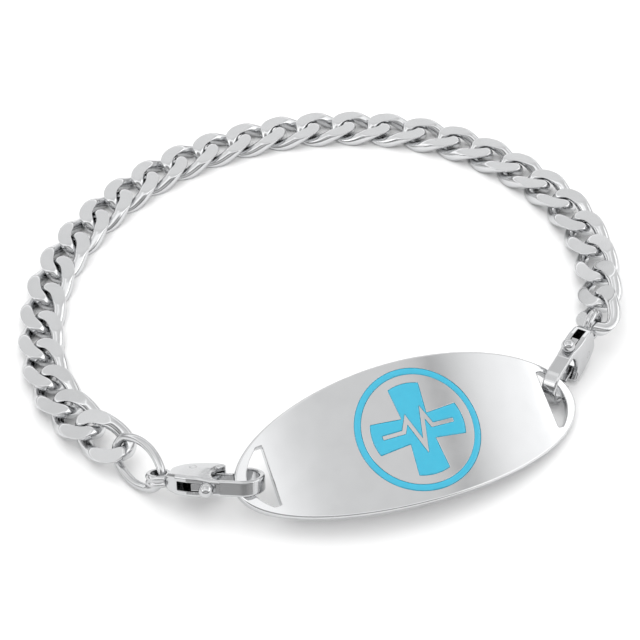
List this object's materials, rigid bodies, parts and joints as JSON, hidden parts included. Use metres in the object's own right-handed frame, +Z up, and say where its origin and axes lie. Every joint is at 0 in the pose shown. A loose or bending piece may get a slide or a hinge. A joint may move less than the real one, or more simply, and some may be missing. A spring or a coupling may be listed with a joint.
{
  "type": "medical alert bracelet",
  "caption": "Medical alert bracelet: bent oval plate with end slots and blue enamel inlay, flat curb chain, two spring clasps and a jump ring, lying open-looped on a table.",
  "frame": {"origin": "middle of the footprint, on the resting surface", "axes": "+Z up from the resting surface; +X to the right as the picture shows it, -Y towards the viewer, with the plate on the -Y side of the loop"},
  "size_m": [0.0798, 0.0766, 0.0103],
  "materials": {
    "plate_steel": "mirror-polished front and rim, fine brushed back",
    "chain_steel": "polished",
    "fittings_steel": "polished",
    "enamel": "glossy sky-blue enamel"
  },
  "bodies": {
    "bracelet": {"plaque": "plate_steel", "enamel_ring": "enamel", "enamel_cross": "enamel", "link_01": "chain_steel", "link_02": "chain_steel", "link_03": "chain_steel", "link_04": "chain_steel", "link_05": "chain_steel", "link_06": "chain_steel", "link_07": "chain_steel", "link_08": "chain_steel", "link_09": "chain_steel", "link_10": "chain_steel", "link_11": "chain_steel", "link_12": "chain_steel", "link_13": "chain_steel", "link_14": "chain_steel", "link_15": "chain_steel", "link_16": "chain_steel", "link_17": "chain_steel", "link_18": "chain_steel", "link_19": "chain_steel", "link_20": "chain_steel", "link_21": "chain_steel", "link_22": "chain_steel", "link_23": "chain_steel", "link_24": "chain_steel", "link_25": "chain_steel", "link_26": "chain_steel", "link_27": "chain_steel", "link_28": "chain_steel", "link_29": "chain_steel", "jump_ring": "fittings_steel", "left_clasp_body": "fittings_steel", "left_clasp_pin": "fittings_steel", "right_clasp_body": "fittings_steel", "right_clasp_pin": "fittings_steel"},
    "left_lever": {"left_clasp_lever": "fittings_steel"},
    "right_lever": {"right_clasp_lever": "fittings_steel"}
  },
  "joints": [
    {"name": "left_lever_pivot", "type": "hinge", "parent": "bracelet", "child": "left_lever", "pos_m": [-0.01543, -0.03192, 0.00309], "axis": [0.0288, -0.5004, -0.8653], "range_deg": [0, 26], "stiffness_Nm_per_rad": 0.0006, "springref_deg": -17.19},
    {"name": "right_lever_pivot", "type": "hinge", "parent": "bracelet", "child": "right_lever", "pos_m": [0.03271, -0.01112, 0.00256], "axis": [-0.8379, 0.5311, -0.1263], "range_deg": [0, 26], "stiffness_Nm_per_rad": 0.0006, "springref_deg": -17.19}
  ]
}
